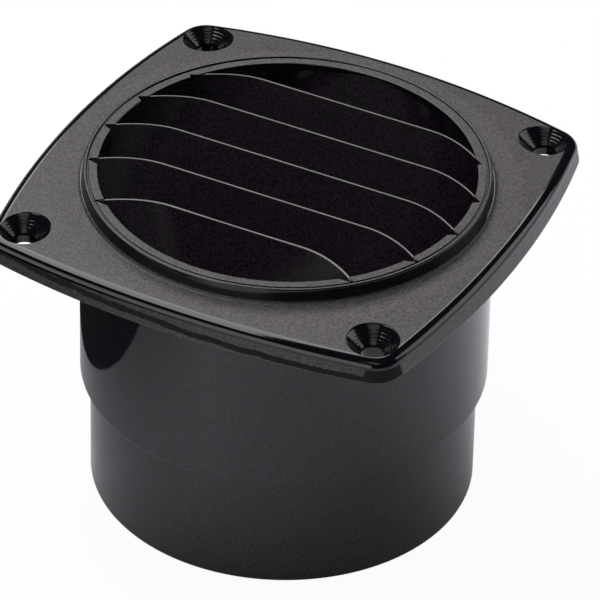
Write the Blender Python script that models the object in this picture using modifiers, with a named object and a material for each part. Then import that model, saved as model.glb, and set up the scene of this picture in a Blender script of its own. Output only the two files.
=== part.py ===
"""Plastic vent grille: a louvred face plate with a stepped hose spigot, moulded as one piece.

Metres, +Z up. The origin is the centre of the spigot's open end, so the face plate is at the top.
The louvre blades run along X, and +Y is the side that they lean away from.
"""
import math

import bpy
import bmesh
from mathutils import Matrix, Vector

MM = 0.001

# Spigot: a tail for a 76 mm hose, with a collar above it that stops the hose
TAIL_RADIUS = 38.0 * MM
TAIL_LENGTH = 25.0 * MM
TAIL_WALL = 2.0 * MM
COLLAR_STEP = 2.0 * MM
COLLAR_LENGTH = 42.9 * MM
BORE_DRAFT = 0.4 * MM
TAIL_CHAMFER = 0.6 * MM

# Face plate: a bowed square shell whose corners slope down past a round crease
PLATE_MARGIN = 7.7 * MM
SIDE_BOW = 4.9 * MM
CORNER_RADIUS = 5.8 * MM
PLATE_DEPTH = 5.4 * MM
PLATE_WALL = 2.4 * MM
EDGE_RADIUS = 1.4 * MM
SIDE_DRAFT = 0.4 * MM
CREASE_MARGIN = 5.0 * MM
CORNER_SLOPE = math.radians(4.0)

# Raised ring round the opening: outer lip, fine groove, flat ledge
RING_HEIGHT = 2.94 * MM
RING_TAPER = 0.76 * MM
LIP_ROUND = 0.25 * MM
LIP_WIDTH = 0.7 * MM
GROOVE_WIDTH = 0.35 * MM
GROOVE_DEPTH = 0.35 * MM
LEDGE_DROP = 0.1 * MM
LEDGE_ROUND = 0.2 * MM

# Screw corners: countersunk through holes in round bosses
SCREW_SETBACK = 7.0 * MM
SCREW_HOLE_RADIUS = 2.3 * MM
COUNTERSINK_RADIUS = 5.1 * MM
BOSS_WALL = 2.6 * MM

# Louvre blades: 45 degree blades whose ends sweep forward to meet the bore
BLADE_PITCH = 11.6 * MM
REAR_BLADE_COVER = 0.3 * MM
BLADE_LAND = 0.8 * MM
BLADE_ROOT = 1.2 * MM
BLADE_SHUTOFF = 0.4 * MM
BLADE_TOP_DROP = 0.2 * MM
SWEEP_LENGTH = 12.0 * MM
TOP_SWEEP = 4.3 * MM
ROOT_SWEEP = 2.0 * MM
BLADE_EMBED = 1.4 * MM

# Notches that the blade ends leave in the ledge
NOTCH_REACH = 2.5 * MM
NOTCH_MOUTH = 2.8 * MM
NOTCH_DEPTH = 2.2 * MM
NOTCH_OVERLAP = 0.15 * MM

# Facets
TURN_STEPS = 96
SIDE_STEPS = 15
CORNER_STEPS = 6
EDGE_STEPS = 3
SWEEP_STEPS = 5
HOLE_STEPS = 32
SMOOTH_ANGLE = math.radians(30.0)
CUT_CLEAR = 1.0 * MM

# Sizes that follow from the ones above
COLLAR_RADIUS = TAIL_RADIUS + COLLAR_STEP
BORE_AT_END = TAIL_RADIUS - TAIL_WALL
BORE_AT_TOP = BORE_AT_END + BORE_DRAFT
PLATE_TOP = TAIL_LENGTH + COLLAR_LENGTH
PLATE_BOTTOM = PLATE_TOP - PLATE_DEPTH
RING_TOP = PLATE_TOP + RING_HEIGHT
LEDGE_TOP = RING_TOP - LEDGE_DROP
PLATE_HALF = COLLAR_RADIUS + PLATE_MARGIN
CREASE_RADIUS = COLLAR_RADIUS + CREASE_MARGIN
BLADE_TOP = LEDGE_TOP - BLADE_TOP_DROP
BLADE_REACH = BLADE_PITCH - BLADE_LAND - BLADE_SHUTOFF
BLADE_BOTTOM = BLADE_TOP - BLADE_REACH

ABS_COLOUR = (0.012, 0.011, 0.012, 1.0)


def clear_scene():
    for item in list(bpy.data.objects):
        bpy.data.objects.remove(item, do_unlink=True)


def new_collection(name):
    collection = bpy.data.collections.new(name)
    bpy.context.scene.collection.children.link(collection)
    return collection


def moulded_plastic():
    material = bpy.data.materials.new("gloss_black_abs")
    material.use_nodes = True
    shader = material.node_tree.nodes["Principled BSDF"]
    shader.inputs["Base Color"].default_value = ABS_COLOUR
    shader.inputs["Roughness"].default_value = 0.22
    shader.inputs["Metallic"].default_value = 0.0
    return material


def object_from_bmesh(name, mesh_data, collection):
    mesh = bpy.data.meshes.new(name)
    mesh_data.to_mesh(mesh)
    mesh_data.free()
    item = bpy.data.objects.new(name, mesh)
    collection.objects.link(item)
    return item


def mark_as_tool(item):
    item.hide_render = True
    item.display_type = "WIRE"
    return item


# Spigot, collar and ring, turned as one

def quarter_round(centre, radius, start, steps):
    """Points of a quarter circle in the (radius, height) plane, clockwise from the start angle."""
    angles = [start - math.pi / 2 * step / steps for step in range(steps + 1)]
    return [(centre[0] + radius * math.cos(a), centre[1] + radius * math.sin(a)) for a in angles]


def spigot_profile():
    """Closed section of the turned body, down the outside from the lip and back up the bore."""
    lip_outer = COLLAR_RADIUS - RING_TAPER
    lip_inner = lip_outer - LIP_WIDTH
    groove_inner = lip_inner - GROOVE_WIDTH
    ring_root = PLATE_TOP - PLATE_WALL / 2
    points = quarter_round((lip_outer - LIP_ROUND, RING_TOP - LIP_ROUND), LIP_ROUND, math.pi / 2, 2)
    points += [
        (COLLAR_RADIUS, ring_root),
        (COLLAR_RADIUS, TAIL_LENGTH),
        (TAIL_RADIUS, TAIL_LENGTH),
        (TAIL_RADIUS, TAIL_CHAMFER),
        (TAIL_RADIUS - TAIL_CHAMFER, 0.0),
        (BORE_AT_END, 0.0),
        (BORE_AT_TOP, LEDGE_TOP - LEDGE_ROUND),
        (BORE_AT_TOP + LEDGE_ROUND, LEDGE_TOP),
        (groove_inner, LEDGE_TOP),
        (groove_inner, RING_TOP - GROOVE_DEPTH),
        (lip_inner, RING_TOP - GROOVE_DEPTH),
        (lip_inner, RING_TOP),
    ]
    return points


def make_spigot(name, collection):
    profile = spigot_profile()
    mesh_data = bmesh.new()
    rim = [mesh_data.verts.new((radius, 0.0, height)) for radius, height in profile]
    for first, second in zip(rim, rim[1:] + rim[:1]):
        mesh_data.edges.new((first, second))
    spigot = object_from_bmesh(name, mesh_data, collection)
    screw = spigot.modifiers.new("turn", "SCREW")
    screw.steps = TURN_STEPS
    screw.render_steps = TURN_STEPS
    screw.use_merge_vertices = True
    screw.merge_threshold = 0.00001
    return spigot


# Face plate

def bowed_square(inset):
    """Outline of four bowed sides and four round corners, moved inwards by an inset.

    Each side is an arc through the middle of the side, and each corner is an arc tangent to two sides.
    Insets keep the arcs' centres, so every outline has its points in the same order.
    """
    corner = PLATE_HALF - SIDE_BOW
    side_radius = (corner ** 2 + SIDE_BOW ** 2) / (2 * SIDE_BOW)
    side_centre = PLATE_HALF - side_radius
    reach = side_radius - CORNER_RADIUS
    corner_centre = (side_centre + math.sqrt(2 * reach ** 2 - side_centre ** 2)) / 2
    turn = math.atan2(corner_centre, corner_centre - side_centre)
    quarter = []
    for step in range(SIDE_STEPS + 1):
        angle = -turn + 2 * turn * step / SIDE_STEPS
        radius = side_radius - inset
        quarter.append(Vector((side_centre + radius * math.cos(angle), radius * math.sin(angle), 0.0)))
    for step in range(1, CORNER_STEPS):
        angle = turn + (math.pi / 2 - 2 * turn) * step / CORNER_STEPS
        radius = CORNER_RADIUS - inset
        quarter.append(Vector((
            corner_centre + radius * math.cos(angle),
            corner_centre + radius * math.sin(angle),
            0.0,
        )))
    outline = []
    for side in range(4):
        spin = Matrix.Rotation(side * math.pi / 2, 3, "Z")
        outline += [spin @ point for point in quarter]
    return outline


def plate_surface(point, below):
    """The point at its place on the plate's top surface, or that far below it."""
    beyond = max(0.0, point.xy.length - CREASE_RADIUS)
    return Vector((point.x, point.y, PLATE_TOP - below - beyond * math.tan(CORNER_SLOPE)))


def on_circle(outline, radius, below):
    return [plate_surface(point.normalized() * radius, below) for point in outline]


def at_height(outline, height):
    return [Vector((point.x, point.y, height)) for point in outline]


def plate_rings():
    """Sections of the plate's shell, out over its top, down its side and back along its inside."""
    edge_inset = SIDE_DRAFT + EDGE_RADIUS
    outermost = bowed_square(0.0)
    inner_radius = (BORE_AT_TOP + COLLAR_RADIUS) / 2
    rings = [on_circle(outermost, inner_radius, 0.0), on_circle(outermost, CREASE_RADIUS, 0.0)]
    for step in range(EDGE_STEPS + 1):
        angle = math.pi / 2 * step / EDGE_STEPS
        inset = edge_inset - EDGE_RADIUS * math.sin(angle)
        below = EDGE_RADIUS * (1 - math.cos(angle))
        rings.append([plate_surface(point, below) for point in bowed_square(inset)])
    rings.append(at_height(outermost, PLATE_BOTTOM))
    rings.append(at_height(bowed_square(PLATE_WALL), PLATE_BOTTOM))
    rings.append([plate_surface(point, PLATE_WALL) for point in bowed_square(PLATE_WALL + SIDE_DRAFT)])
    inside_crease = CREASE_RADIUS - PLATE_WALL
    rings.append(on_circle(outermost, inside_crease, PLATE_WALL))
    rings.append(on_circle(outermost, inner_radius, PLATE_WALL))
    return rings


def loft(mesh_data, rings, closed_rings, closed_loft):
    """Quads between neighbouring rings that have the same number of points."""
    rows = [[mesh_data.verts.new(point) for point in ring] for ring in rings]
    pairs = list(zip(rows, rows[1:]))
    if closed_loft:
        pairs.append((rows[-1], rows[0]))
    count = len(rings[0])
    for upper, lower in pairs:
        for index in range(count if closed_rings else count - 1):
            after = (index + 1) % count
            mesh_data.faces.new((upper[index], lower[index], lower[after], upper[after]))
    return rows


def make_plate(collection):
    mesh_data = bmesh.new()
    loft(mesh_data, plate_rings(), closed_rings=True, closed_loft=True)
    bmesh.ops.recalc_face_normals(mesh_data, faces=mesh_data.faces)
    return mark_as_tool(object_from_bmesh("face_plate_form", mesh_data, collection))


# Screw corners

def screw_centres():
    corner_tip = max(point.xy.length for point in bowed_square(0.0))
    offset = (corner_tip - SCREW_SETBACK) / math.sqrt(2)
    return [(x * offset, y * offset) for x in (-1, 1) for y in (-1, 1)]


def make_posts(name, collection, lower_radius, upper_radius, bottom, top):
    """One upright cone or cylinder at each screw."""
    mesh_data = bmesh.new()
    for x, y in screw_centres():
        bmesh.ops.create_cone(
            mesh_data,
            cap_ends=True,
            segments=HOLE_STEPS,
            radius1=lower_radius,
            radius2=upper_radius,
            depth=top - bottom,
            matrix=Matrix.Translation((x, y, (bottom + top) / 2)),
        )
    return mark_as_tool(object_from_bmesh(name, mesh_data, collection))


def screw_surface():
    x, y = screw_centres()[0]
    return plate_surface(Vector((x, y, 0.0)), 0.0).z


def make_bosses(collection):
    radius = SCREW_HOLE_RADIUS + BOSS_WALL
    top = screw_surface() - PLATE_WALL / 2
    return make_posts("screw_boss_form", collection, radius, radius, PLATE_BOTTOM, top)


def make_screw_holes(collection):
    bottom = PLATE_BOTTOM - CUT_CLEAR
    top = PLATE_TOP + CUT_CLEAR
    return make_posts("screw_hole_cutter", collection, SCREW_HOLE_RADIUS, SCREW_HOLE_RADIUS, bottom, top)


def make_countersinks(collection):
    """Cones at 90 degrees that are as wide as the countersink where they meet the plate."""
    surface = screw_surface()
    tip_radius = SCREW_HOLE_RADIUS - CUT_CLEAR
    bottom = surface - (COUNTERSINK_RADIUS - tip_radius)
    return make_posts(
        "countersink_cutter",
        collection,
        tip_radius,
        COUNTERSINK_RADIUS + CUT_CLEAR,
        bottom,
        surface + CUT_CLEAR,
    )


# Louvre blades

def blade_places():
    """Y of each blade's front edge at the top, from the rear forwards.

    The rear blade's top edge is covered by the ledge, and only its slope shows below it. The front
    blade is the last whose deep edge is still long enough for its two swept ends.
    """
    rear = BORE_AT_TOP + REAR_BLADE_COVER
    front_limit = -math.sqrt(BORE_AT_TOP ** 2 - SWEEP_LENGTH ** 2)
    rear_root = rear - BLADE_REACH - ROOT_SWEEP
    count = 1 + math.floor((rear_root - front_limit) / BLADE_PITCH)
    return [rear - BLADE_PITCH * index for index in range(count)]


def end_of_edge(place, sweep):
    """Half the length of a blade's edge, up to where it meets the bore."""
    return math.sqrt(BORE_AT_TOP ** 2 - (place - sweep) ** 2)


def end_direction(sweep):
    return Vector((SWEEP_LENGTH, -2 * sweep, 0.0)).normalized()


def into_wall(end, sweep):
    """Where a blade's edge stops in the wall: further along its own line, which its notch shares.

    The rear blade's line turns back into the opening, so there the edge goes straight outwards.
    """
    along = end_direction(sweep)
    outwards = Vector((end.x, end.y, 0.0)).normalized()
    if along.dot(outwards) > 0.0:
        return end + BLADE_EMBED * along
    return (BORE_AT_TOP + BLADE_EMBED) * outwards + Vector((0.0, 0.0, end.z))


def swept_edge(place, sweep, height, thickness):
    """A blade's edge, set back by its thickness: straight in the middle, with parabolic ends."""
    half = end_of_edge(place, sweep)
    straight = half - SWEEP_LENGTH
    right = []
    for step in range(SWEEP_STEPS + 1):
        share = step / SWEEP_STEPS
        along_blade = straight + SWEEP_LENGTH * share
        right.append(Vector((along_blade, place - sweep * share ** 2 + thickness, height)))
    right.append(into_wall(right[-1], sweep))
    left = [Vector((-point.x, point.y, point.z)) for point in reversed(right)]
    return left + right


def make_blades(collection):
    mesh_data = bmesh.new()
    for place in blade_places():
        root_place = place - BLADE_REACH
        edges = [
            swept_edge(place, TOP_SWEEP, BLADE_TOP, 0.0),
            swept_edge(root_place, ROOT_SWEEP, BLADE_BOTTOM, 0.0),
            swept_edge(root_place, ROOT_SWEEP, BLADE_BOTTOM, BLADE_ROOT),
            swept_edge(place, TOP_SWEEP, BLADE_TOP, BLADE_LAND),
        ]
        rows = loft(mesh_data, edges, closed_rings=False, closed_loft=True)
        mesh_data.faces.new([row[0] for row in rows])
        mesh_data.faces.new([row[-1] for row in reversed(rows)])
    bmesh.ops.recalc_face_normals(mesh_data, faces=mesh_data.faces)
    return mark_as_tool(object_from_bmesh("louvre_blade_form", mesh_data, collection))


def notch_corners(place, side):
    """Plan of one notch: a thin triangle between the line of the blade's end and the bore's rim.

    It overlaps the blade, and both corners at the rim lie inside the bore, so no film of wall is left.
    """
    along = end_direction(TOP_SWEEP)
    back = Vector((-along.y, along.x, 0.0)) * NOTCH_OVERLAP
    start = Vector((end_of_edge(place, TOP_SWEEP), place - TOP_SWEEP, 0.0))
    inwards = -NOTCH_OVERLAP * start.normalized()
    tip = start + along * NOTCH_REACH + back
    turn = Matrix.Rotation(-NOTCH_MOUTH / BORE_AT_TOP, 3, "Z")
    mouth = (turn @ start) + inwards
    inner = start + back + 2 * inwards
    return [Vector((side * point.x, point.y, 0.0)) for point in (inner, tip, mouth)]


def make_notches(collection):
    """Prisms for the notches of all blades that show their ends on the ledge."""
    mesh_data = bmesh.new()
    for place in blade_places()[1:]:
        for side in (-1, 1):
            plan = notch_corners(place, side)
            lower = [mesh_data.verts.new(at) for at in at_height(plan, LEDGE_TOP - NOTCH_DEPTH)]
            floor = mesh_data.faces.new(lower)
            raised = bmesh.ops.extrude_face_region(mesh_data, geom=[floor])["geom"]
            top = [item for item in raised if isinstance(item, bmesh.types.BMVert)]
            bmesh.ops.translate(mesh_data, verts=top, vec=(0.0, 0.0, NOTCH_DEPTH + CUT_CLEAR))
    bmesh.ops.recalc_face_normals(mesh_data, faces=mesh_data.faces)
    return mark_as_tool(object_from_bmesh("ledge_notch_cutter", mesh_data, collection))


# The whole moulding

def combine(item, tool, operation):
    modifier = item.modifiers.new(tool.name, "BOOLEAN")
    modifier.operation = operation
    modifier.solver = "EXACT"
    modifier.object = tool


def settle(item):
    """Replaces the modifiers by their result, with round faces smooth and corners sharp."""
    graph = bpy.context.evaluated_depsgraph_get()
    result = bpy.data.meshes.new_from_object(item.evaluated_get(graph))
    item.modifiers.clear()
    item.data = result
    result.shade_smooth()
    result.set_sharp_from_angle(angle=SMOOTH_ANGLE)


def main():
    clear_scene()
    parts = new_collection("plastic_vent_grille")
    forms = new_collection("construction_forms")
    grille = make_spigot("vent_grille", parts)
    combine(grille, make_plate(forms), "UNION")
    combine(grille, make_bosses(forms), "UNION")
    combine(grille, make_notches(forms), "DIFFERENCE")
    combine(grille, make_blades(forms), "UNION")
    combine(grille, make_countersinks(forms), "DIFFERENCE")
    combine(grille, make_screw_holes(forms), "DIFFERENCE")
    settle(grille)
    grille.data.materials.append(moulded_plastic())


main()
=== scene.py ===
"""A louvred vent grille in black plastic, standing on its spigot in a white studio."""
import math

import bmesh
import bpy
import numpy as np
from mathutils import Matrix, Vector


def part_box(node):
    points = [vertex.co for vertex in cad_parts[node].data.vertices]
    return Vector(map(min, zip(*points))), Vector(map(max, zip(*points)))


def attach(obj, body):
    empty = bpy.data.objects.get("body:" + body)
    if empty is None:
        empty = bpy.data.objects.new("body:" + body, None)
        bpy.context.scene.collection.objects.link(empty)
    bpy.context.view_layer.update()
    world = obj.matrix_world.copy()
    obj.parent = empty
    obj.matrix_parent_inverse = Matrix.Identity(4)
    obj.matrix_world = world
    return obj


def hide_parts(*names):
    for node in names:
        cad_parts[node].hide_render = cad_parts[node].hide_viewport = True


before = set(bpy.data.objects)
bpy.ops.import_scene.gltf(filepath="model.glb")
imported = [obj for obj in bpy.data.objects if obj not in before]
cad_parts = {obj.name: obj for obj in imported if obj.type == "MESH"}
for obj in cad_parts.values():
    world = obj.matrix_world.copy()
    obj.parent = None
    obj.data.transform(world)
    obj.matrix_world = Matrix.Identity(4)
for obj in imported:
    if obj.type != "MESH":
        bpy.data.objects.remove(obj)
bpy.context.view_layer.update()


# Camera
# A long lens looks down on the grille from the front right, a little tilted. Its angles, distance
# and aim are fitted to the outlines in the photograph.

CAMERA_TARGET = Vector((-0.004516, 0.015565, 0.028061))
CAMERA_DISTANCE = 1.10556
CAMERA_AZIMUTH = math.radians(26.476)
CAMERA_ELEVATION = math.radians(36.300)
CAMERA_ROLL = math.radians(1.3186)
CAMERA_LENS = 334.38
CAMERA_FILM_WIDTH = 36.0
CAMERA_NEAR_END = 0.01

towards_camera = Vector((
    math.sin(CAMERA_AZIMUTH) * math.cos(CAMERA_ELEVATION),
    -math.cos(CAMERA_AZIMUTH) * math.cos(CAMERA_ELEVATION),
    math.sin(CAMERA_ELEVATION),
))
level_right = Vector((0.0, 0.0, 1.0)).cross(towards_camera).normalized()
level_up = towards_camera.cross(level_right)
camera_right = math.cos(CAMERA_ROLL) * level_right + math.sin(CAMERA_ROLL) * level_up
camera_up = towards_camera.cross(camera_right)
lens = bpy.data.cameras.new("studio_camera")
lens.lens = CAMERA_LENS
lens.sensor_width = CAMERA_FILM_WIDTH
lens.clip_start = CAMERA_NEAR_END
camera = bpy.data.objects.new("studio_camera", lens)
camera_turn = Matrix((camera_right, camera_up, towards_camera)).transposed().to_4x4()
camera_place = Matrix.Translation(CAMERA_TARGET + CAMERA_DISTANCE * towards_camera)
camera.matrix_world = camera_place @ camera_turn
bpy.context.scene.collection.objects.link(camera)
bpy.context.scene.camera = camera


# Spigot, collar and ring
# The round body of the moulding: a tail for the hose, a stepped collar, and the raised ring with
# its fine groove and flat ledge. It is black ABS, injection moulded in one with the plate: glossy
# on the spigot, polished on the ring's walls, and satin where it looks up.

MM = 0.001
RING_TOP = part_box("vent_grille")[1].z
TAIL_RADIUS = 38.0 * MM
TAIL_LENGTH = 25.0 * MM
BORE_AT_END = 36.0 * MM
BORE_AT_TOP = 36.4 * MM
COLLAR_RADIUS = 40.0 * MM
PLATE_TOP = RING_TOP - 2.94 * MM
PLATE_WALL = 2.4 * MM
LIP_OUTER = COLLAR_RADIUS - 0.76 * MM
LIP_INNER = LIP_OUTER - 0.7 * MM
GROOVE_INNER = LIP_INNER - 0.35 * MM
GROOVE_FLOOR = RING_TOP - 0.35 * MM
LEDGE_TOP = RING_TOP - 0.1 * MM
SPIGOT_SEGMENTS = 384
SPIGOT_ARC_STEPS = 7
GUARD_LENGTH = 0.25 * MM
GUARD_MOST = 0.3
SMOOTH_ANGLE = math.radians(32.0)

# The pale grain colours are painted highlights on the raised tops of the fine grain.
ABS_BLACK = (0.0010, 0.0006, 0.0012, 1.0)
ABS_GRAIN_HIGHLIGHT = (0.0220, 0.0195, 0.0245, 1.0)
POLISHED_GRAIN_HIGHLIGHT = (0.0045, 0.0032, 0.0055, 1.0)
ABS_IOR = 1.5
ABS_SPECULAR = 0.46
SATIN_BLACK = (0.026, 0.023, 0.025, 1.0)
SATIN_GRAIN_HIGHLIGHT = (0.076, 0.071, 0.071, 1.0)
SATIN_SPECULAR = 0.28
SATIN_FROM_SLOPE = 0.95
DUST_GREY = (0.14, 0.135, 0.13, 1.0)

GRAIN_DETAIL = 2.0
GRAIN_DIPS_AT = 0.35
GRAIN_STANDS_AT = 0.65
WAVES_PER_METRE = 160.0
WAVE_DETAIL = 1.0
PATCHES_PER_METRE = 90.0
PATCH_DETAIL = 4.0
PATCH_ROUGHNESS = 0.03
SPECKS_PER_METRE = 260.0
SPECK_OUTER = 0.05
SPECK_INNER = 0.02


def rounded_outline(corners, radii, steps):
    """Closed outlines whose corners are arcs, for an array of corners (..., n, axes).

    Each arc touches both of its sides at radius / tan(half the corner's angle) from the corner, and
    is swept from one touching point to the other by weights of sines. Each side also gets a point
    near each of its ends, so that the shading of an arc doesn't spread along the side.
    """
    to_before = np.roll(corners, 1, axis=-2) - corners
    to_after = np.roll(corners, -1, axis=-2) - corners
    arm_in = to_before / np.linalg.norm(to_before, axis=-1, keepdims=True)
    arm_out = to_after / np.linalg.norm(to_after, axis=-1, keepdims=True)
    middle = arm_in + arm_out
    middle = middle / np.linalg.norm(middle, axis=-1, keepdims=True)
    half = np.arccos(np.clip(np.sum(arm_in * middle, axis=-1, keepdims=True), -1.0, 1.0))
    radii = np.asarray(radii)[:, None]
    centre = corners + middle * radii / np.sin(half)
    first = corners + arm_in * radii / np.tan(half) - centre
    last = corners + arm_out * radii / np.tan(half) - centre
    sweep = (math.pi - 2 * half)[..., None, :]
    share = np.linspace(0.0, 1.0, steps)[:, None]
    arcs = (
        centre[..., None, :]
        + np.sin((1 - share) * sweep) / np.sin(sweep) * first[..., None, :]
        + np.sin(share * sweep) / np.sin(sweep) * last[..., None, :]
    )
    starts = arcs[..., -1, :]
    ends = np.roll(arcs[..., 0, :], -1, axis=-2)
    length = np.linalg.norm(ends - starts, axis=-1, keepdims=True)
    guard = np.minimum(GUARD_LENGTH / length, GUARD_MOST)
    between = np.stack([guard, 0.5 * np.ones_like(guard), 1 - guard], axis=-2)
    sides = starts[..., None, :] + between * (ends - starts)[..., None, :]
    points = np.concatenate([arcs, sides], axis=-2)
    return points.reshape(*corners.shape[:-2], -1, corners.shape[-1])


def grid_faces(rows, columns, rows_closed, columns_closed):
    """Quads of a grid of points, row by row, as an array of four corners each."""
    row = np.arange(rows if rows_closed else rows - 1)
    column = np.arange(columns if columns_closed else columns - 1)
    row, column = np.meshgrid(row, column, indexing="ij")
    next_row = (row + 1) % rows
    next_column = (column + 1) % columns
    corners = [
        row * columns + column,
        next_row * columns + column,
        next_row * columns + next_column,
        row * columns + next_column,
    ]
    return np.stack(corners, axis=-1).reshape(-1, 4)


def piece_from_grid(name, points, rows_closed=True, columns_closed=True, caps=()):
    """A mesh object whose points are a grid, with cap faces where the grid's ends are open."""
    rows, columns = points.shape[:2]
    faces = grid_faces(rows, columns, rows_closed, columns_closed).tolist()
    faces += [list(cap) for cap in caps]
    mesh = bpy.data.meshes.new(name)
    mesh.from_pydata(points.reshape(-1, 3), [], faces)
    piece = bpy.data.objects.new(name, mesh)
    bpy.context.scene.collection.objects.link(piece)
    shell = bmesh.new()
    shell.from_mesh(mesh)
    bmesh.ops.recalc_face_normals(shell, faces=shell.faces)
    shell.to_mesh(mesh)
    shell.free()
    return piece


def turned(profile, segments, centre):
    """Points of a profile of (radius, height) turned about an upright axis through a centre.

    x = centre x + radius cos(angle), y = centre y + radius sin(angle), z = height.
    """
    angle = np.linspace(0.0, 2 * math.pi, segments, endpoint=False)[:, None]
    x = centre[0] + profile[None, :, 0] * np.cos(angle)
    y = centre[1] + profile[None, :, 0] * np.sin(angle)
    z = np.broadcast_to(profile[None, :, 1], x.shape)
    return np.stack([x, y, z], axis=-1)


def turned_piece(name, section, arc_steps, segments, centre=(0.0, 0.0)):
    """A closed section turned about an upright axis. Its rows are radius, height and rounding."""
    section = np.array(section)
    outline = rounded_outline(section[:, :2], section[:, 2], arc_steps)
    return piece_from_grid(name, turned(outline, segments, centre))


def feed(tree, end, given):
    """Links an output to a node's input, or sets the input to a plain value."""
    if isinstance(given, bpy.types.NodeSocket):
        tree.links.new(given, end)
    else:
        end.default_value = given


def math_node(tree, operation, *given):
    """Output of a Math node, whose inputs are outputs of other nodes or plain values."""
    node = tree.nodes.new("ShaderNodeMath")
    node.operation = operation
    for end, value in zip(node.inputs, given):
        feed(tree, end, value)
    return node.outputs[0]


def mapped(tree, value, start, end, at_start=0.0, at_end=1.0):
    """A straight run from at_start to at_end as a value goes from start to end, level past both."""
    run = tree.nodes.new("ShaderNodeMapRange")
    feed(tree, run.inputs["Value"], value)
    feed(tree, run.inputs["From Min"], start)
    feed(tree, run.inputs["From Max"], end)
    feed(tree, run.inputs["To Min"], at_start)
    feed(tree, run.inputs["To Max"], at_end)
    return run.outputs["Result"]


def mixed(tree, data_type, factor, first, second):
    """First times (1 - factor) plus second times factor, for colours or values."""
    mix = tree.nodes.new("ShaderNodeMix")
    mix.data_type = data_type
    feed(tree, mix.inputs["Factor"], factor)
    ends = [socket for socket in mix.inputs if socket.enabled and socket.name in "AB"]
    for end, given in zip(ends, (first, second)):
        feed(tree, end, given)
    return [socket for socket in mix.outputs if socket.enabled][0]


def noise(tree, place, per_metre, detail, roughness=0.5):
    """Noise from 0 to 1 over the piece's own coordinates, about so many waves to a metre."""
    texture = tree.nodes.new("ShaderNodeTexNoise")
    feed(tree, texture.inputs["Vector"], place.outputs["Object"])
    feed(tree, texture.inputs["Scale"], per_metre)
    feed(tree, texture.inputs["Detail"], detail)
    feed(tree, texture.inputs["Roughness"], roughness)
    return texture.outputs["Fac"]


def moulded_surface_group():
    """The mould's texture as values: Roughness, Height in metres, and masks of grain and dust.

    Height is a fine grain plus a slow waviness, each a noise times its depth. Roughness is the
    given gloss plus patches. Grain is 1 where the grain stands up and 0 where it dips; it places
    a painted highlight, a paler colour, on the grain's real bumps. Dust is a mask of small round
    specks, in a given share of the cells.
    """
    group = bpy.data.node_groups.new("moulded_surface", "ShaderNodeTree")
    for name in ("Grain Size", "Grain Depth", "Wave Depth", "Gloss", "Dust"):
        group.interface.new_socket(name=name, in_out="INPUT", socket_type="NodeSocketFloat")
    for name in ("Roughness", "Height", "Grain", "Dust"):
        group.interface.new_socket(name=name, in_out="OUTPUT", socket_type="NodeSocketFloat")
    given = group.nodes.new("NodeGroupInput")
    result = group.nodes.new("NodeGroupOutput")
    place = group.nodes.new("ShaderNodeTexCoord")

    per_metre = math_node(group, "DIVIDE", 1.0, given.outputs["Grain Size"])
    grain = noise(group, place, per_metre, GRAIN_DETAIL)
    standing = mapped(group, grain, GRAIN_DIPS_AT, GRAIN_STANDS_AT)
    wave = noise(group, place, WAVES_PER_METRE, WAVE_DETAIL)
    wave_height = math_node(group, "MULTIPLY", wave, given.outputs["Wave Depth"])
    height = math_node(group, "MULTIPLY_ADD", grain, given.outputs["Grain Depth"], wave_height)

    patches = noise(group, place, PATCHES_PER_METRE, PATCH_DETAIL)
    rough = math_node(group, "MULTIPLY_ADD", patches, PATCH_ROUGHNESS, given.outputs["Gloss"])

    specks = group.nodes.new("ShaderNodeTexVoronoi")
    feed(group, specks.inputs["Vector"], place.outputs["Object"])
    feed(group, specks.inputs["Scale"], SPECKS_PER_METRE)
    small = mapped(group, specks.outputs["Distance"], SPECK_OUTER, SPECK_INNER)
    tint = group.nodes.new("ShaderNodeSeparateColor")
    feed(group, tint.inputs["Color"], specks.outputs["Color"])
    few = math_node(group, "LESS_THAN", tint.outputs["Red"], given.outputs["Dust"])
    dust = math_node(group, "MULTIPLY", small, few)

    feed(group, result.inputs["Roughness"], rough)
    feed(group, result.inputs["Height"], height)
    feed(group, result.inputs["Grain"], standing)
    feed(group, result.inputs["Dust"], dust)
    return group


moulded_surface = moulded_surface_group()


def black_plastic(
    name, black, pale, gloss, grain_size, grain_depth, wave_depth, dust, specular=ABS_SPECULAR,
):
    """Near-black ABS with a painted highlight where its grain stands up, and pale dust specks."""
    material = bpy.data.materials.new(name)
    material.use_nodes = True
    tree = material.node_tree
    shader = tree.nodes["Principled BSDF"]
    shader.inputs["IOR"].default_value = ABS_IOR
    shader.inputs["Specular IOR Level"].default_value = specular
    surface = tree.nodes.new("ShaderNodeGroup")
    surface.node_tree = moulded_surface
    surface.inputs["Gloss"].default_value = gloss
    surface.inputs["Grain Size"].default_value = grain_size
    surface.inputs["Grain Depth"].default_value = grain_depth
    surface.inputs["Wave Depth"].default_value = wave_depth
    surface.inputs["Dust"].default_value = dust
    # The paler colour where the grain stands up is a painted highlight on its bumps.
    grain_highlighted = mixed(tree, "RGBA", surface.outputs["Grain"], black, pale)
    dusty = mixed(tree, "RGBA", surface.outputs["Dust"], grain_highlighted, DUST_GREY)
    tree.links.new(dusty, shader.inputs["Base Color"])
    tree.links.new(surface.outputs["Roughness"], shader.inputs["Roughness"])
    bump = tree.nodes.new("ShaderNodeBump")
    bump.inputs["Distance"].default_value = 1.0
    tree.links.new(surface.outputs["Height"], bump.inputs["Height"])
    tree.links.new(bump.outputs["Normal"], shader.inputs["Normal"])
    return material


def smooth(piece):
    """Shades a piece smoothly, except where two faces turn by more than the sharp angle."""
    piece.data.shade_smooth()
    piece.data.set_sharp_from_angle(angle=SMOOTH_ANGLE)


def part_of_moulding(piece):
    """The piece rides on the one body, and stands in the place of the one solid."""
    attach(piece, "root")
    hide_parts("vent_grille")


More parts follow.
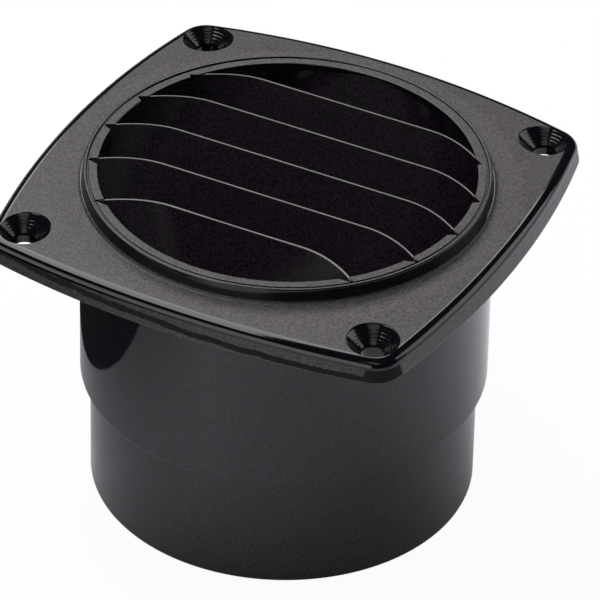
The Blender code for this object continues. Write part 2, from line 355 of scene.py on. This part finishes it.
def faces_looking_up(piece, least_slope):
    """Which faces have a normal whose upward part is more than a given share of it."""
    normals = np.empty(3 * len(piece.data.polygons))
    piece.data.polygons.foreach_get("normal", normals)
    return normals[2::3] > least_slope


spigot = turned_piece("spigot_and_ring", [
    (LIP_OUTER, RING_TOP, 0.25 * MM),
    (COLLAR_RADIUS, PLATE_TOP - PLATE_WALL / 2, 0.1 * MM),
    (COLLAR_RADIUS, TAIL_LENGTH, 0.35 * MM),
    (TAIL_RADIUS, TAIL_LENGTH, 0.3 * MM),
    (TAIL_RADIUS, 0.0, 0.6 * MM),
    (BORE_AT_END, 0.0, 0.3 * MM),
    (BORE_AT_TOP, LEDGE_TOP, 0.2 * MM),
    (GROOVE_INNER, LEDGE_TOP, 0.06 * MM),
    (GROOVE_INNER, GROOVE_FLOOR, 0.08 * MM),
    (LIP_INNER, GROOVE_FLOOR, 0.08 * MM),
    (LIP_INNER, RING_TOP, 0.2 * MM),
], SPIGOT_ARC_STEPS, SPIGOT_SEGMENTS)
spigot_plastic = black_plastic(
    "spigot_plastic", ABS_BLACK, ABS_GRAIN_HIGHLIGHT, gloss=0.01,
    grain_size=0.42 * MM, grain_depth=0.004 * MM, wave_depth=0.01 * MM, dust=0.04,
)
satin_plastic = black_plastic(
    "satin_plastic", SATIN_BLACK, SATIN_GRAIN_HIGHLIGHT, gloss=0.44,
    grain_size=0.42 * MM, grain_depth=0.012 * MM, wave_depth=0.0, dust=0.03,
    specular=SATIN_SPECULAR,
)
polished_plastic = black_plastic(
    "polished_plastic", ABS_BLACK, POLISHED_GRAIN_HIGHLIGHT, gloss=0.06,
    grain_size=0.5 * MM, grain_depth=0.001 * MM, wave_depth=0.01 * MM, dust=0.02,
)
for plastic in (spigot_plastic, satin_plastic, polished_plastic):
    spigot.data.materials.append(plastic)
face_centres = np.empty(3 * len(spigot.data.polygons))
spigot.data.polygons.foreach_get("center", face_centres)
on_ring = face_centres[2::3] > PLATE_TOP
looking_up = faces_looking_up(spigot, SATIN_FROM_SLOPE)
spigot_slots = np.where(looking_up, 1, 2 * on_ring).astype(np.int32)
spigot.data.polygons.foreach_set("material_index", spigot_slots)
smooth(spigot)
part_of_moulding(spigot)


# Face plate
# A bowed square shell round the ring, moulded in one with it. The mould gives its top and its sides
# a fine satin texture, and leaves the rounded edge between them polished. Past a faint crease the
# corners slope. A ragged black stripe along the front side and a black tip at its right corner
# are painted shade: painted reflections of shade on the table.

PLATE_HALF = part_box("vent_grille")[1].x
SIDE_BOW = 4.9 * MM
CORNER_RADIUS = 5.8 * MM
PLATE_BOTTOM = PLATE_TOP - 5.4 * MM
EDGE_RADIUS = 1.7 * MM
EDGE_MARGIN = 0.2 * MM
SIDE_DRAFT = 0.4 * MM
CREASE_RADIUS = 45.0 * MM
CREASE_BLEND = 0.4 * MM
CORNER_SLOPE = math.tan(math.radians(4.0))
FOOT_FILLET = 0.65 * MM
SIDE_POINTS = 150
CORNER_POINTS = 36
FILLET_ROWS = 8
TOP_ROWS = 36
EDGE_ROWS = 13
SIDE_ROWS = 2
UNDER_ROWS = 7
# The flat rim that the plate rests on, from its outside to its inside, in mm: how far in from the
# outline, and how far up from the bottom.
RIM_SECTION = (
    (0.02, 0.5), (0.0, 0.25), (0.06, 0.06), (0.25, 0.0), (2.15, 0.0), (2.34, 0.06), (2.4, 0.25),
)

# Painted shade on the front side: a ragged black stripe and a black corner tip.
STRIPE_HEIGHT = 1.75 * MM
STRIPE_LEAN = 0.029
STRIPE_HALF = 0.6 * MM
STRIPE_RAGGED = 1.6 * MM
RAGS_PER_METRE = 220.0
RAG_DETAIL = 6.0
RAG_ROUGHNESS = 0.7
FRONT_SIDE = -42.0 * MM
SHADED_TIP = 1.5 * MM
SHADE_ROUGHNESS = 0.8


def bowed_outline(inset):
    """Outline of four bowed sides and four round corners, moved inwards by an inset.

    A side is an arc through the side's middle, and a corner is an arc tangent to two sides. An
    inset makes every arc's radius smaller about the same centre.
    """
    corner = PLATE_HALF - SIDE_BOW
    side_radius = (corner ** 2 + SIDE_BOW ** 2) / (2 * SIDE_BOW)
    side_centre = PLATE_HALF - side_radius
    reach = side_radius - CORNER_RADIUS
    corner_centre = (side_centre + math.sqrt(2 * reach ** 2 - side_centre ** 2)) / 2
    turn = math.atan2(corner_centre, corner_centre - side_centre)
    side_angle = np.linspace(-turn, turn, SIDE_POINTS)
    corner_angle = np.linspace(turn, math.pi / 2 - turn, CORNER_POINTS)[1:-1]
    side_x = side_centre + (side_radius - inset) * np.cos(side_angle)
    side_y = (side_radius - inset) * np.sin(side_angle)
    corner_x = corner_centre + (CORNER_RADIUS - inset) * np.cos(corner_angle)
    corner_y = corner_centre + (CORNER_RADIUS - inset) * np.sin(corner_angle)
    quarter = np.stack([np.append(side_x, corner_x), np.append(side_y, corner_y)], axis=-1)
    spins = np.array([[[1, 0], [0, 1]], [[0, 1], [-1, 0]], [[-1, 0], [0, -1]], [[0, -1], [1, 0]]])
    return np.concatenate([quarter @ spin for spin in spins])


def plate_height(plan):
    """Height of the plate's top: level inside the crease, a slope past it, a parabola between."""
    beyond = np.linalg.norm(plan, axis=-1) - CREASE_RADIUS
    bend = np.clip(beyond + CREASE_BLEND, 0.0, 2 * CREASE_BLEND) ** 2 / (4 * CREASE_BLEND)
    return PLATE_TOP - CORNER_SLOPE * np.where(beyond > CREASE_BLEND, beyond, bend)


def raised(plan, height):
    """Points of a plan lifted to a height, or to a height each: (x, y) becomes (x, y, height)."""
    return np.concatenate([plan, np.broadcast_to(height, plan.shape[:-1])[..., None]], axis=-1)


def plate_rows():
    """Closed loft of outlines: the fillet at the ring's foot, top, edge, side, rim and inside.

    The fillet is a quarter circle from the ring's wall down to the top, r = foot + f - f cos t and
    z = top + f - f sin t, and the edge is one from the top down to the side.
    """
    edge_inset = SIDE_DRAFT + EDGE_RADIUS
    inner_radius = (BORE_AT_TOP + COLLAR_RADIUS) / 2
    outer = bowed_outline(0.0)
    outwards = outer / np.linalg.norm(outer, axis=-1, keepdims=True)
    inner = inner_radius * outwards
    rise = (PLATE_WALL / 2) / (RING_TOP - PLATE_TOP + PLATE_WALL / 2)
    ring_foot = COLLAR_RADIUS + rise * (LIP_OUTER - COLLAR_RADIUS)
    turn = np.linspace(0.0, math.pi / 2, FILLET_ROWS)[:, None, None]
    fillet_radii = ring_foot + FOOT_FILLET * (1 - np.cos(turn))
    fillet_height = PLATE_TOP + FOOT_FILLET * (1 - np.sin(turn[..., 0]))
    fillet = raised(fillet_radii * outwards, fillet_height)
    hidden = raised(inner, PLATE_TOP + FOOT_FILLET)[None]
    flat_end = bowed_outline(edge_inset + EDGE_MARGIN)
    share = np.linspace(0.0, 1.0, TOP_ROWS + 1)[1:, None, None]
    top_start = (ring_foot + FOOT_FILLET) * outwards
    top_plan = top_start + share * (flat_end - top_start)
    top = raised(top_plan, plate_height(top_plan))
    turn = np.linspace(0.0, math.pi / 2, EDGE_ROWS)
    edge_plan = np.stack([bowed_outline(edge_inset - EDGE_RADIUS * math.sin(a)) for a in turn])
    edge_drop = EDGE_RADIUS * (1 - np.cos(turn))[:, None]
    edge = raised(edge_plan, plate_height(edge_plan) - edge_drop)
    rim = np.stack([
        raised(bowed_outline(inset * MM), PLATE_BOTTOM + up * MM) for inset, up in RIM_SECTION
    ])
    inside_plan = bowed_outline(PLATE_WALL + SIDE_DRAFT)
    inside_edge = raised(inside_plan, plate_height(inside_plan) - PLATE_WALL)
    inwards = np.linspace(1.0, 0.0, UNDER_ROWS + 1)[1:, None, None]
    under_plan = inner + inwards * (inside_plan - inner)
    under = raised(under_plan, plate_height(under_plan) - PLATE_WALL)
    return np.concatenate([hidden, fillet, top, edge, rim, inside_edge[None], under])


def paint_front_side_shade(material, level, tip, colour, gloss):
    """Painted shade: a ragged black stripe along the side at -Y, and a black tip at the corner
    between +X and -Y, both rough. Both are painted reflections of shade on the table.

    The stripe is where |z + ragged * (noise - 0.5) + lean * x - level| is under its half width and
    y is on that side. The tip is where (x - y) / sqrt 2 is past a radius.
    """
    tree = material.node_tree
    shader = tree.nodes["Principled BSDF"]
    place = tree.nodes.new("ShaderNodeTexCoord")
    split = tree.nodes.new("ShaderNodeSeparateXYZ")
    feed(tree, split.inputs[0], place.outputs["Object"])
    x, y, z = split.outputs
    rags = noise(tree, place, RAGS_PER_METRE, RAG_DETAIL, RAG_ROUGHNESS)
    ragged = math_node(tree, "MULTIPLY_ADD", rags, STRIPE_RAGGED, z)
    leant = math_node(tree, "MULTIPLY_ADD", x, STRIPE_LEAN, ragged)
    offset = math_node(tree, "SUBTRACT", leant, level + STRIPE_RAGGED / 2)
    near = math_node(tree, "LESS_THAN", math_node(tree, "ABSOLUTE", offset), STRIPE_HALF)
    in_front = math_node(tree, "LESS_THAN", y, FRONT_SIDE)
    stripe = math_node(tree, "MULTIPLY", near, in_front)
    towards_tip = math_node(tree, "SUBTRACT", x, y)
    at_tip = math_node(tree, "GREATER_THAN", towards_tip, math.sqrt(2) * tip)
    painted_shade = math_node(tree, "MAXIMUM", stripe, at_tip)
    # Over the stripe and the tip, the plastic's colour and roughness give way to a painted shade.
    for socket, data_type, value in (("Base Color", "RGBA", colour), ("Roughness", "FLOAT", gloss)):
        plain = shader.inputs[socket].links[0].from_socket
        tree.links.new(mixed(tree, data_type, painted_shade, plain, value), shader.inputs[socket])


corner_tip = np.linalg.norm(bowed_outline(0.0), axis=-1).max()
rows = plate_rows()
plate = piece_from_grid("face_plate", rows)
plate_side_plastic = black_plastic(
    "plate_side_plastic", SATIN_BLACK, SATIN_GRAIN_HIGHLIGHT, gloss=0.34,
    grain_size=0.42 * MM, grain_depth=0.006 * MM, wave_depth=0.02 * MM, dust=0.02,
    specular=SATIN_SPECULAR,
)
# The front side gets its painted shade: a ragged black stripe and a black corner tip.
paint_front_side_shade(
    plate_side_plastic, PLATE_BOTTOM + STRIPE_HEIGHT, corner_tip - SHADED_TIP, ABS_BLACK, SHADE_ROUGHNESS,
)
for plastic in (polished_plastic, satin_plastic, plate_side_plastic):
    plate.data.materials.append(plastic)
face_row = np.arange(len(plate.data.polygons)) // rows.shape[1]
top_ends = FILLET_ROWS + TOP_ROWS
side_begins = top_ends + EDGE_ROWS
on_top = (face_row >= 1) & (face_row < top_ends)
on_side = (face_row >= side_begins) & (face_row < side_begins + SIDE_ROWS)
plate.data.polygons.foreach_set("material_index", (on_top + 2 * on_side).astype(np.int32))
smooth(plate)
part_of_moulding(plate)


# Screw corners
# Four countersunk holes for wood screws, each through a round boss under the plate. They are
# moulded too, and the turned pins that shaped the cones left fine rings in the plastic.

SCREW_SETBACK = 7.0 * MM
SCREW_RADIUS = 2.3 * MM
COUNTERSINK_RADIUS = 5.1 * MM
CONE_DEPTH = COUNTERSINK_RADIUS - SCREW_RADIUS
CONE_STEPS = 72
MOUTH_BREAK = 0.12 * MM
MOUTH_BREAK_TOP = 0.05 * MM
MOUTH_BREAK_END = 0.04 * MM
SEAT_BREAK = 0.04 * MM
SEAT_BREAK_END = 0.06 * MM
CUTTER_CORE = 0.2 * MM
CUTTER_ABOVE = 2 * MM
CUTTER_BELOW = 1 * MM
RING_MARK_PITCH = 0.5 * MM
RING_MARK_DEPTH = 0.011 * MM
BOSS_RADIUS = SCREW_RADIUS + 2.6 * MM
BOSS_TOP = PLATE_TOP - PLATE_WALL * 0.75
BOSS_CORE = 0.5 * MM
BOSS_ARC_STEPS = 4
SCREW_SEGMENTS = 96

cone_plastic = black_plastic(
    "cone_plastic", ABS_BLACK, POLISHED_GRAIN_HIGHLIGHT, gloss=0.12,
    grain_size=0.3 * MM, grain_depth=0.003 * MM, wave_depth=0.0, dust=0.0,
)


def screw_places():
    """Centres of the four holes, on the diagonals, a setback in from the corners' tips."""
    offset = (corner_tip - SCREW_SETBACK) / math.sqrt(2)
    return [(x * offset, y * offset) for x in (-1, 1) for y in (-1, 1)]


def make_boss(name, place):
    """A short upright tube with rounded corners, from inside the plate's wall to its bottom."""
    return turned_piece(name, [
        (BOSS_RADIUS, BOSS_TOP, 0.2 * MM),
        (BOSS_RADIUS, PLATE_BOTTOM, 0.3 * MM),
        (BOSS_CORE, PLATE_BOTTOM, 0.2 * MM),
        (BOSS_CORE, BOSS_TOP, 0.1 * MM),
    ], BOSS_ARC_STEPS, SCREW_SEGMENTS, place)


def make_countersink(name, place):
    """Cutter of one screw hole: a straight bore, a cone at 45 degrees, and broken edges.

    The cone's rings are a sine of the depth, across the cone's surface, fading out at both ends.
    """
    surface = float(plate_height(np.array(place)))
    seat = surface - CONE_DEPTH
    down_cone = np.linspace(0.0, 1.0, CONE_STEPS)[1:-1]
    depth = down_cone * CONE_DEPTH
    fade = np.sin(math.pi * down_cone)
    ripple = RING_MARK_DEPTH * np.sin(2 * math.pi * depth / RING_MARK_PITCH) * fade
    cone = np.stack([COUNTERSINK_RADIUS - depth - ripple, surface - depth + ripple], axis=-1)
    mouth = np.array([
        (CUTTER_CORE, surface + CUTTER_ABOVE),
        (COUNTERSINK_RADIUS + MOUTH_BREAK, surface + CUTTER_ABOVE),
        (COUNTERSINK_RADIUS + MOUTH_BREAK, surface + MOUTH_BREAK_TOP),
        (COUNTERSINK_RADIUS, surface - MOUTH_BREAK_END),
    ])
    bore = np.array([
        (SCREW_RADIUS + SEAT_BREAK, seat + SEAT_BREAK),
        (SCREW_RADIUS, seat - SEAT_BREAK_END),
        (SCREW_RADIUS, PLATE_BOTTOM - CUTTER_BELOW),
        (CUTTER_CORE, PLATE_BOTTOM - CUTTER_BELOW),
    ])
    points = turned(np.concatenate([mouth, cone, bore]), SCREW_SEGMENTS, place)
    count, length = points.shape[:2]
    caps = [np.arange(count) * length, np.arange(count)[::-1] * length + length - 1]
    return piece_from_grid(name, points, rows_closed=True, columns_closed=False, caps=caps)


def shape_with(piece, tool, plastic, operation):
    """Joins a tool to a piece, or cuts it out of it, with the tool's plastic on the new faces."""
    tool.data.materials.append(plastic)
    tool.data.shade_smooth()
    boolean = piece.modifiers.new(tool.name, "BOOLEAN")
    boolean.operation = operation
    boolean.solver = "EXACT"
    boolean.material_mode = "TRANSFER"
    boolean.object = tool
    graph = bpy.context.evaluated_depsgraph_get()
    result = bpy.data.meshes.new_from_object(piece.evaluated_get(graph))
    piece.modifiers.clear()
    piece.data = result
    bpy.data.objects.remove(tool)


for number, place in enumerate(screw_places()):
    shape_with(plate, make_boss(f"screw_boss_{number}", place), polished_plastic, "UNION")
    shape_with(plate, make_countersink(f"screw_hole_{number}", place), cone_plastic, "DIFFERENCE")
smooth(plate)


# Louvre blades
# Six slats moulded across the opening, dull on their faces and glossy on their top edges. They lean
# back at 45 degrees, so that rain runs off, and their ends sweep forwards to meet the round wall.

BLADE_PITCH = 11.6 * MM
BLADE_COUNT = 6
REAR_BLADE_COVER = 0.3 * MM
BLADE_LAND = 0.8 * MM
BLADE_ROOT = 1.2 * MM
BLADE_TOP = LEDGE_TOP - 0.2 * MM
BLADE_GAP = 0.4 * MM
BLADE_REACH = BLADE_PITCH - BLADE_LAND - BLADE_GAP
BLADE_BOTTOM = BLADE_TOP - BLADE_REACH
BLADE_ROUNDING = np.array([0.15, 0.2, 0.2, 0.2]) * MM
BLADE_ARC_STEPS = 6
SWEEP_LENGTH = 12.0 * MM
SWEEP_POINTS = 25
STRAIGHT_POINTS = 7
TOP_SWEEP = 4.3 * MM
ROOT_SWEEP = 2.0 * MM
BLADE_EMBED = 1.2 * MM

BLADE_BLACK = (0.0012, 0.0004, 0.0016, 1.0)
# The pale colour is a painted highlight on the blade's grain.
BLADE_GRAIN_HIGHLIGHT = (0.0095, 0.0066, 0.0105, 1.0)
BLADE_SPECULAR = 0.1
LAND_FROM_SLOPE = 0.85


def half_edge(place, sweep):
    """How far from the middle a blade's edge meets the bore: sqrt(bore^2 - (place - sweep)^2)."""
    return math.sqrt(BORE_AT_TOP ** 2 - (place - sweep) ** 2)


def end_line(sweep):
    """Direction in which a blade's edge leaves its parabola: (length, -2 sweep) at unit length."""
    line = np.array([SWEEP_LENGTH, -2 * sweep])
    return line / np.linalg.norm(line)


def blade_edge(place, sweep, height, thickness):
    """A blade's edge: straight, then a parabola y = place - sweep s^2, then on into the wall."""
    straight = half_edge(place, sweep) - SWEEP_LENGTH
    share = np.linspace(0.0, 1.0, SWEEP_POINTS)
    x = straight + SWEEP_LENGTH * share
    y = place - sweep * share ** 2 + thickness
    end = np.array([x[-1], y[-1]])
    outwards = end / np.linalg.norm(end)
    line = end_line(sweep)
    into_wall = (BORE_AT_TOP + BLADE_EMBED) * outwards
    if line @ outwards > 0:
        into_wall = end + BLADE_EMBED * line
    inner_x = np.linspace(0.0, straight, STRAIGHT_POINTS + 1)[:-1]
    x = np.concatenate([inner_x, x, into_wall[:1]])
    y = np.concatenate([np.full(STRAIGHT_POINTS, place + thickness), y, into_wall[1:]])
    x = np.concatenate([-x[:0:-1], x])
    y = np.concatenate([y[:0:-1], y])
    return np.stack([x, y, np.full_like(x, height)], axis=-1)


def make_blade(name, place):
    """Loft of a slanted section with rounded corners, along the sweep of its four edges."""
    root = place - BLADE_REACH
    edges = np.stack([
        blade_edge(place, TOP_SWEEP, BLADE_TOP, 0.0),
        blade_edge(root, ROOT_SWEEP, BLADE_BOTTOM, 0.0),
        blade_edge(root, ROOT_SWEEP, BLADE_BOTTOM, BLADE_ROOT),
        blade_edge(place, TOP_SWEEP, BLADE_TOP, BLADE_LAND),
    ], axis=1)
    points = rounded_outline(edges, BLADE_ROUNDING, BLADE_ARC_STEPS)
    count, length = points.shape[:2]
    caps = [np.arange(length), np.arange(length)[::-1] + (count - 1) * length]
    return piece_from_grid(name, points, rows_closed=False, columns_closed=True, caps=caps)


blade_plastic = black_plastic(
    "blade_plastic", BLADE_BLACK, BLADE_GRAIN_HIGHLIGHT, gloss=0.24,
    grain_size=0.42 * MM, grain_depth=0.006 * MM, wave_depth=0.005 * MM, dust=0.01,
    specular=BLADE_SPECULAR,
)
blade_land_plastic = black_plastic(
    "blade_land_plastic", ABS_BLACK, ABS_GRAIN_HIGHLIGHT, gloss=0.15,
    grain_size=0.4 * MM, grain_depth=0.001 * MM, wave_depth=0.0, dust=0.0,
)
blade_fronts = BORE_AT_TOP + REAR_BLADE_COVER - BLADE_PITCH * np.arange(BLADE_COUNT)
for number, place in enumerate(blade_fronts):
    blade = make_blade(f"louvre_blade_{number + 1}", place)
    blade.data.materials.append(blade_plastic)
    blade.data.materials.append(blade_land_plastic)
    on_land = faces_looking_up(blade, LAND_FROM_SLOPE)
    blade.data.polygons.foreach_set("material_index", on_land.astype(np.int32))
    smooth(blade)
    part_of_moulding(blade)


# Ledge notches
# Where a blade's end meets the ring, its line runs on into the ledge as a thin slot, moulded in
# with the rest. The rear blade, which shows only below the ledge, is given none.

NOTCH_REACH = 2.3 * MM
NOTCH_MOUTH = 2.4 * MM
NOTCH_DEPTH = 2.2 * MM
NOTCH_OVERLAP = 0.15 * MM
NOTCH_ABOVE = 0.5 * MM


def make_notch(name, place, side):
    """Prism over a thin triangle between the line of the blade's end and the bore's rim.

    Its far corner on the rim is the near one turned about the bore's middle by mouth / bore.
    """
    line = end_line(TOP_SWEEP)
    back = NOTCH_OVERLAP * np.array([-line[1], line[0]])
    start = np.array([half_edge(place, TOP_SWEEP), place - TOP_SWEEP])
    inwards = -NOTCH_OVERLAP * start / np.linalg.norm(start)
    turn = -NOTCH_MOUTH / BORE_AT_TOP
    turned_start = np.array([
        start[0] * math.cos(turn) - start[1] * math.sin(turn),
        start[0] * math.sin(turn) + start[1] * math.cos(turn),
    ])
    plan = np.array([
        start + back + 2 * inwards,
        start + line * NOTCH_REACH + back,
        turned_start + inwards,
    ]) * (side, 1.0)
    levels = np.array([LEDGE_TOP - NOTCH_DEPTH, LEDGE_TOP + NOTCH_ABOVE])
    points = np.stack([raised(plan, level) for level in levels])
    caps = [(0, 1, 2), (5, 4, 3)]
    return piece_from_grid(name, points, rows_closed=False, columns_closed=True, caps=caps)


for number, place in enumerate(blade_fronts[1:]):
    for side in (-1, 1):
        notch = make_notch(f"ledge_notch_{number}_{side}", place, side)
        shape_with(spigot, notch, spigot_plastic, "DIFFERENCE")
smooth(spigot)


# Table
# A white sweep that runs on to the horizon. It looks white and keeps a faint shadow. A black sheet
# lies on it at the left, past the picture's edge. It is painted shade, solid past its edge and
# fading out beside it, and it shows only in what the plastic mirrors, as painted dark reflections:
# the black arch on the collar, and dark patches on the tail and collar from other sides.

TABLE_HALF = 6.0
TABLE_WHITE = (0.85, 0.83, 0.89, 1.0)
TABLE_GLOW_SEEN = 0.95
TABLE_GLOW_MIRRORED = 0.06
MATT_ROUGHNESS = 0.9
# The sheet is painted shade, seen only in reflections.
REFLECTED_SHADE_BLACK = (0.01, 0.01, 0.01, 1.0)
SHEET_HEIGHT = 0.2 * MM
SHEET_REACH = 0.45
SHEET_EDGE = -66.7 * MM
SHEET_EDGE_LEAN = 0.125
SHADE_BESIDE_SHEET = 0.62


def level_plan(left, right, front, back, height):
    """Corners of a level rectangle from left to right in x and from front to back in y."""
    return [
        (left, front, height), (right, front, height), (right, back, height), (left, back, height),
    ]


def flat_sheet(name, corners):
    """One flat face between four corners, as part of the studio."""
    mesh = bpy.data.meshes.new(name)
    mesh.from_pydata(corners, [], [(0, 1, 2, 3)])
    sheet = bpy.data.objects.new(name, mesh)
    bpy.context.scene.collection.objects.link(sheet)
    return sheet


def matt_paint(name, colour):
    """A matt material of one colour, with no gloss."""
    material = bpy.data.materials.new(name)
    material.use_nodes = True
    shader = material.node_tree.nodes["Principled BSDF"]
    shader.inputs["Base Color"].default_value = colour
    shader.inputs["Roughness"].default_value = MATT_ROUGHNESS
    shader.inputs["Specular IOR Level"].default_value = 0.0
    return material


def glowing_share(tree):
    """How much of its own glow the table shows: much where seen, little where mirrored."""
    ray = tree.nodes.new("ShaderNodeLightPath")
    seen = math_node(
        tree, "MAXIMUM", ray.outputs["Is Camera Ray"], ray.outputs["Is Transmission Ray"],
    )
    seen_share = math_node(tree, "MULTIPLY", seen, TABLE_GLOW_SEEN)
    mirrored = ray.outputs["Is Glossy Ray"]
    return math_node(tree, "MULTIPLY_ADD", mirrored, TABLE_GLOW_MIRRORED, seen_share)


table_corners = level_plan(-TABLE_HALF, TABLE_HALF, -TABLE_HALF, TABLE_HALF, 0.0)
table = flat_sheet("studio_table", table_corners)
table_paint = matt_paint("table_white", TABLE_WHITE)
paint_tree = table_paint.node_tree
paint_nodes = paint_tree.nodes
glow = paint_nodes.new("ShaderNodeEmission")
glow.inputs["Strength"].default_value = 1.0
white = paint_nodes.new("ShaderNodeMixShader")
paint_tree.links.new(glowing_share(paint_tree), white.inputs["Fac"])
paint_tree.links.new(paint_nodes["Principled BSDF"].outputs["BSDF"], white.inputs[1])
paint_tree.links.new(glow.outputs["Emission"], white.inputs[2])
paint_tree.links.new(white.outputs["Shader"], paint_nodes["Material Output"].inputs["Surface"])
table.data.materials.append(table_paint)


def cover_with_sheet(material):
    """Makes the sheet solid past its leaning edge, and a shade that fades out towards the grille.

    The edge is where x - lean * y = edge. The shade falls from its full share there to nothing
    where x - lean * y = 0.
    """
    tree = material.node_tree
    place = tree.nodes.new("ShaderNodeTexCoord")
    split = tree.nodes.new("ShaderNodeSeparateXYZ")
    feed(tree, split.inputs[0], place.outputs["Object"])
    x, y, _ = split.outputs
    leant = math_node(tree, "MULTIPLY_ADD", y, -SHEET_EDGE_LEAN, x)
    shade = mapped(tree, leant, SHEET_EDGE, 0.0, SHADE_BESIDE_SHEET, 0.0)
    past_edge = math_node(tree, "LESS_THAN", leant, SHEET_EDGE)
    opaque = math_node(tree, "MAXIMUM", shade, past_edge)
    tree.links.new(opaque, tree.nodes["Principled BSDF"].inputs["Alpha"])


# A sheet of painted shade, which only the plastic's reflections see.
sheet_corners = level_plan(-SHEET_REACH, 0.0, -SHEET_REACH, SHEET_REACH, SHEET_HEIGHT)
reflected_shade_sheet = flat_sheet("reflected_shade_sheet", sheet_corners)
sheet_paint = matt_paint("reflected_shade_black", REFLECTED_SHADE_BLACK)
cover_with_sheet(sheet_paint)
reflected_shade_sheet.data.materials.append(sheet_paint)
reflected_shade_sheet.visible_camera = False
reflected_shade_sheet.visible_diffuse = False
reflected_shade_sheet.visible_shadow = False
reflected_shade_sheet.visible_transmission = False


# Lamps
# A bank over the left of the table is what the plate mirrors, and a wide, weak box in front is what
# the backs of the screw cones mirror. A panel behind on the right and a low card in front draw the
# bright lines on the plate's edges, and a plain lamp overhead fills in.

LAMP_HEIGHT = 1.0
LEFT_BANK_PLAN = ((-1.10, -0.15), (-0.22, -0.58), (-0.22, 1.30), (-1.10, 1.30))
LEFT_BANK_WHITE = (1.0, 0.97, 0.98, 1.0)
COOL_WHITE = (0.97, 0.98, 1.0, 1.0)
CARD_WHITE = (1.0, 0.98, 0.98, 1.0)
FILL_SIZE = 0.9
FILL_POWER = 7.0
FILL_PLACE = (0.1, 0.0, 1.3)
STUDIO_GREY = (0.035, 0.034, 0.038, 1.0)


def upright_plan(start, end, bottom, top):
    """Corners of an upright rectangle over the line from start to end."""
    return [(*start, bottom), (*end, bottom), (*end, top), (*start, top)]


def softbox(name, corners, colour, strength):
    """A flat light between four corners, seen in reflections but not by the camera."""
    box = flat_sheet(name, corners)
    cloth = bpy.data.materials.new(name)
    cloth.use_nodes = True
    cloth.node_tree.nodes.clear()
    light = cloth.node_tree.nodes.new("ShaderNodeEmission")
    light.inputs["Color"].default_value = colour
    light.inputs["Strength"].default_value = strength
    out = cloth.node_tree.nodes.new("ShaderNodeOutputMaterial")
    cloth.node_tree.links.new(light.outputs["Emission"], out.inputs["Surface"])
    box.data.materials.append(cloth)
    box.visible_camera = False
    return box


softbox(
    "left_bank", [(x, y, LAMP_HEIGHT) for x, y in LEFT_BANK_PLAN],
    colour=LEFT_BANK_WHITE, strength=4.4,
)
softbox(
    "front_box", level_plan(0.02, 0.66, -0.92, -0.40, LAMP_HEIGHT),
    colour=COOL_WHITE, strength=0.9,
)
softbox(
    "rear_right_panel", upright_plan((0.72, 1.25), (1.25, 0.60), 0.12, 1.00),
    colour=COOL_WHITE, strength=1.8,
)
front_card = softbox(
    "front_card", upright_plan((-0.50, -0.36), (0.15, -0.48), 0.001, 0.28),
    colour=CARD_WHITE, strength=2.0,
)
front_card.visible_diffuse = False
front_card.visible_shadow = False

fill = bpy.data.lights.new("top_fill", "AREA")
fill.shape = "SQUARE"
fill.size = FILL_SIZE
fill.energy = FILL_POWER
top_fill = bpy.data.objects.new("top_fill", fill)
top_fill.location = FILL_PLACE
top_fill.visible_glossy = False
bpy.context.scene.collection.objects.link(top_fill)

world = bpy.data.worlds.new("studio")
bpy.context.scene.world = world
world.use_nodes = True
background = world.node_tree.nodes["Background"]
background.inputs["Color"].default_value = STUDIO_GREY
background.inputs["Strength"].default_value = 1.0

bpy.context.scene.view_settings.view_transform = "Standard"
